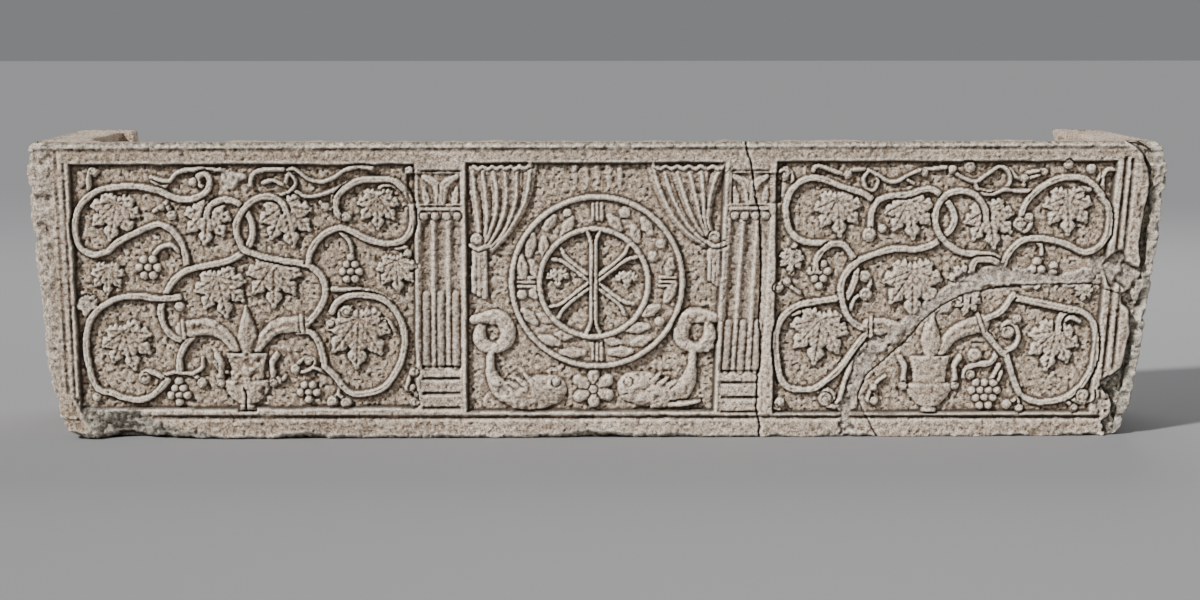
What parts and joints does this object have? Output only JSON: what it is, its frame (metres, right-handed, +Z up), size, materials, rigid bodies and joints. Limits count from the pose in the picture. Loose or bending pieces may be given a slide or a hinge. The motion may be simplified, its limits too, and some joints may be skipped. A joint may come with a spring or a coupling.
{
  "type": "stone sarcophagus",
  "caption": "Open stone chest tomb with flaring walls, a broken back wall and a front carved in low relief with vines, pilasters, a garland ring, hangings and fish.",
  "frame": {"origin": "centre of the bounding box, on the underside", "axes": "+X along the length to the right of the carved front, +Y from the front to the back, +Z up"},
  "size_m": [2.1159, 0.5999, 0.556],
  "materials": {
    "stone": "coarse weathered grey-tan stone, matt, with pits and rough tooling"
  },
  "bodies": {
    "root": {"trough": "stone"}
  },
  "joints": []
}
